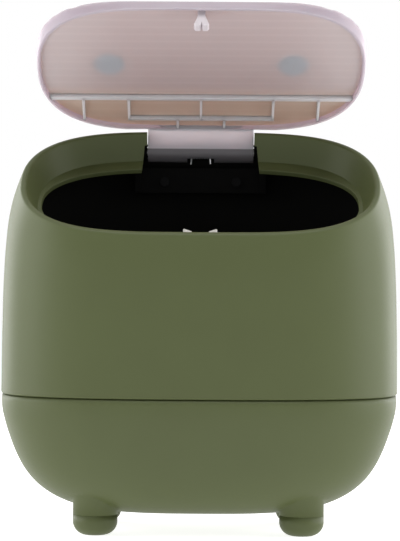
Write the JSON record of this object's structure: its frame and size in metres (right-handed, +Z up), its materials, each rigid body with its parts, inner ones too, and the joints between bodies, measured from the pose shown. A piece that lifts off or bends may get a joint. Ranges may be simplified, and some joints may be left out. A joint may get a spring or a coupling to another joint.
{
  "type": "desktop trash can",
  "caption": "Oval desktop trash can with a slanted top, a ribbed push-to-open lid on a sprung rear hinge, and a bowl on small feet that the upper shell lifts off.",
  "frame": {"origin": "centre of the bounding box, on the surface that the four feet stand on", "axes": "+Z up, the front with the low edge of the slanted top towards -Y, the hinge towards +Y, X across"},
  "size_m": [0.19, 0.1151, 0.2506],
  "materials": {
    "body_green": "satin olive plastic",
    "lid_plastic": "satin warm grey",
    "disc_plastic": "satin grey",
    "dark_plastic": "matt dark grey",
    "latch_plastic": "satin off-white",
    "steel": "plated steel",
    "foot_rubber": "matt rubber in the body's colour"
  },
  "bodies": {
    "base": {"lower_bowl": "body_green", "front_left_foot": "foot_rubber", "front_right_foot": "foot_rubber", "rear_left_foot": "foot_rubber", "rear_right_foot": "foot_rubber"},
    "shell": {"upper_shell": "body_green", "hinge_cradle": "dark_plastic", "hinge_cradle_screws": "steel", "hinge_pin": "steel", "hinge_spring": "steel", "latch_housing": "dark_plastic", "latch_spring": "steel", "latch_screws": "steel"},
    "lid": {"lid_shell": "lid_plastic", "hinge_arm": "lid_plastic", "lid_disc_left": "disc_plastic", "lid_disc_right": "disc_plastic", "lid_striker": "latch_plastic"},
    "plunger": {"latch_plunger": "latch_plastic", "latch_claw_pins": "steel"},
    "claw_left": {"latch_claw_left": "latch_plastic"},
    "claw_right": {"latch_claw_right": "latch_plastic"}
  },
  "joints": [
    {"name": "shell_lift", "type": "slide", "parent": "base", "child": "shell", "axis": [0, 0, 1], "range_m": [0, 0.12]},
    {"name": "lid_hinge", "type": "hinge", "parent": "shell", "child": "lid", "pos_m": [0, 0.046, 0.183], "axis": [1, 0, 0], "range_deg": [0, 65.39], "stiffness_Nm_per_rad": 0.02, "springref_deg": -68.75, "deforming": ["hinge_spring"]},
    {"name": "latch_press", "type": "slide", "parent": "shell", "child": "plunger", "axis": [0, 0.4907, -0.8713], "range_m": [0, 0.003], "stiffness_N_per_m": 100, "springref_m": -0.003, "deforming": ["latch_spring"]},
    {"name": "claw_left_turn", "type": "hinge", "parent": "plunger", "child": "claw_left", "pos_m": [-0.0049, -0.03441, 0.13296], "axis": [0, 0.8713, 0.4907], "range_deg": [0, 6]},
    {"name": "claw_right_turn", "type": "hinge", "parent": "plunger", "child": "claw_right", "pos_m": [0.0049, -0.03441, 0.13296], "axis": [0, 0.8713, 0.4907], "range_deg": [-6, 0]}
  ],
  "couplings": [
    {"joint": "claw_left_turn", "follows": "latch_press", "rad_per_m": 34.9},
    {"joint": "claw_right_turn", "follows": "latch_press", "rad_per_m": -34.9}
  ]
}
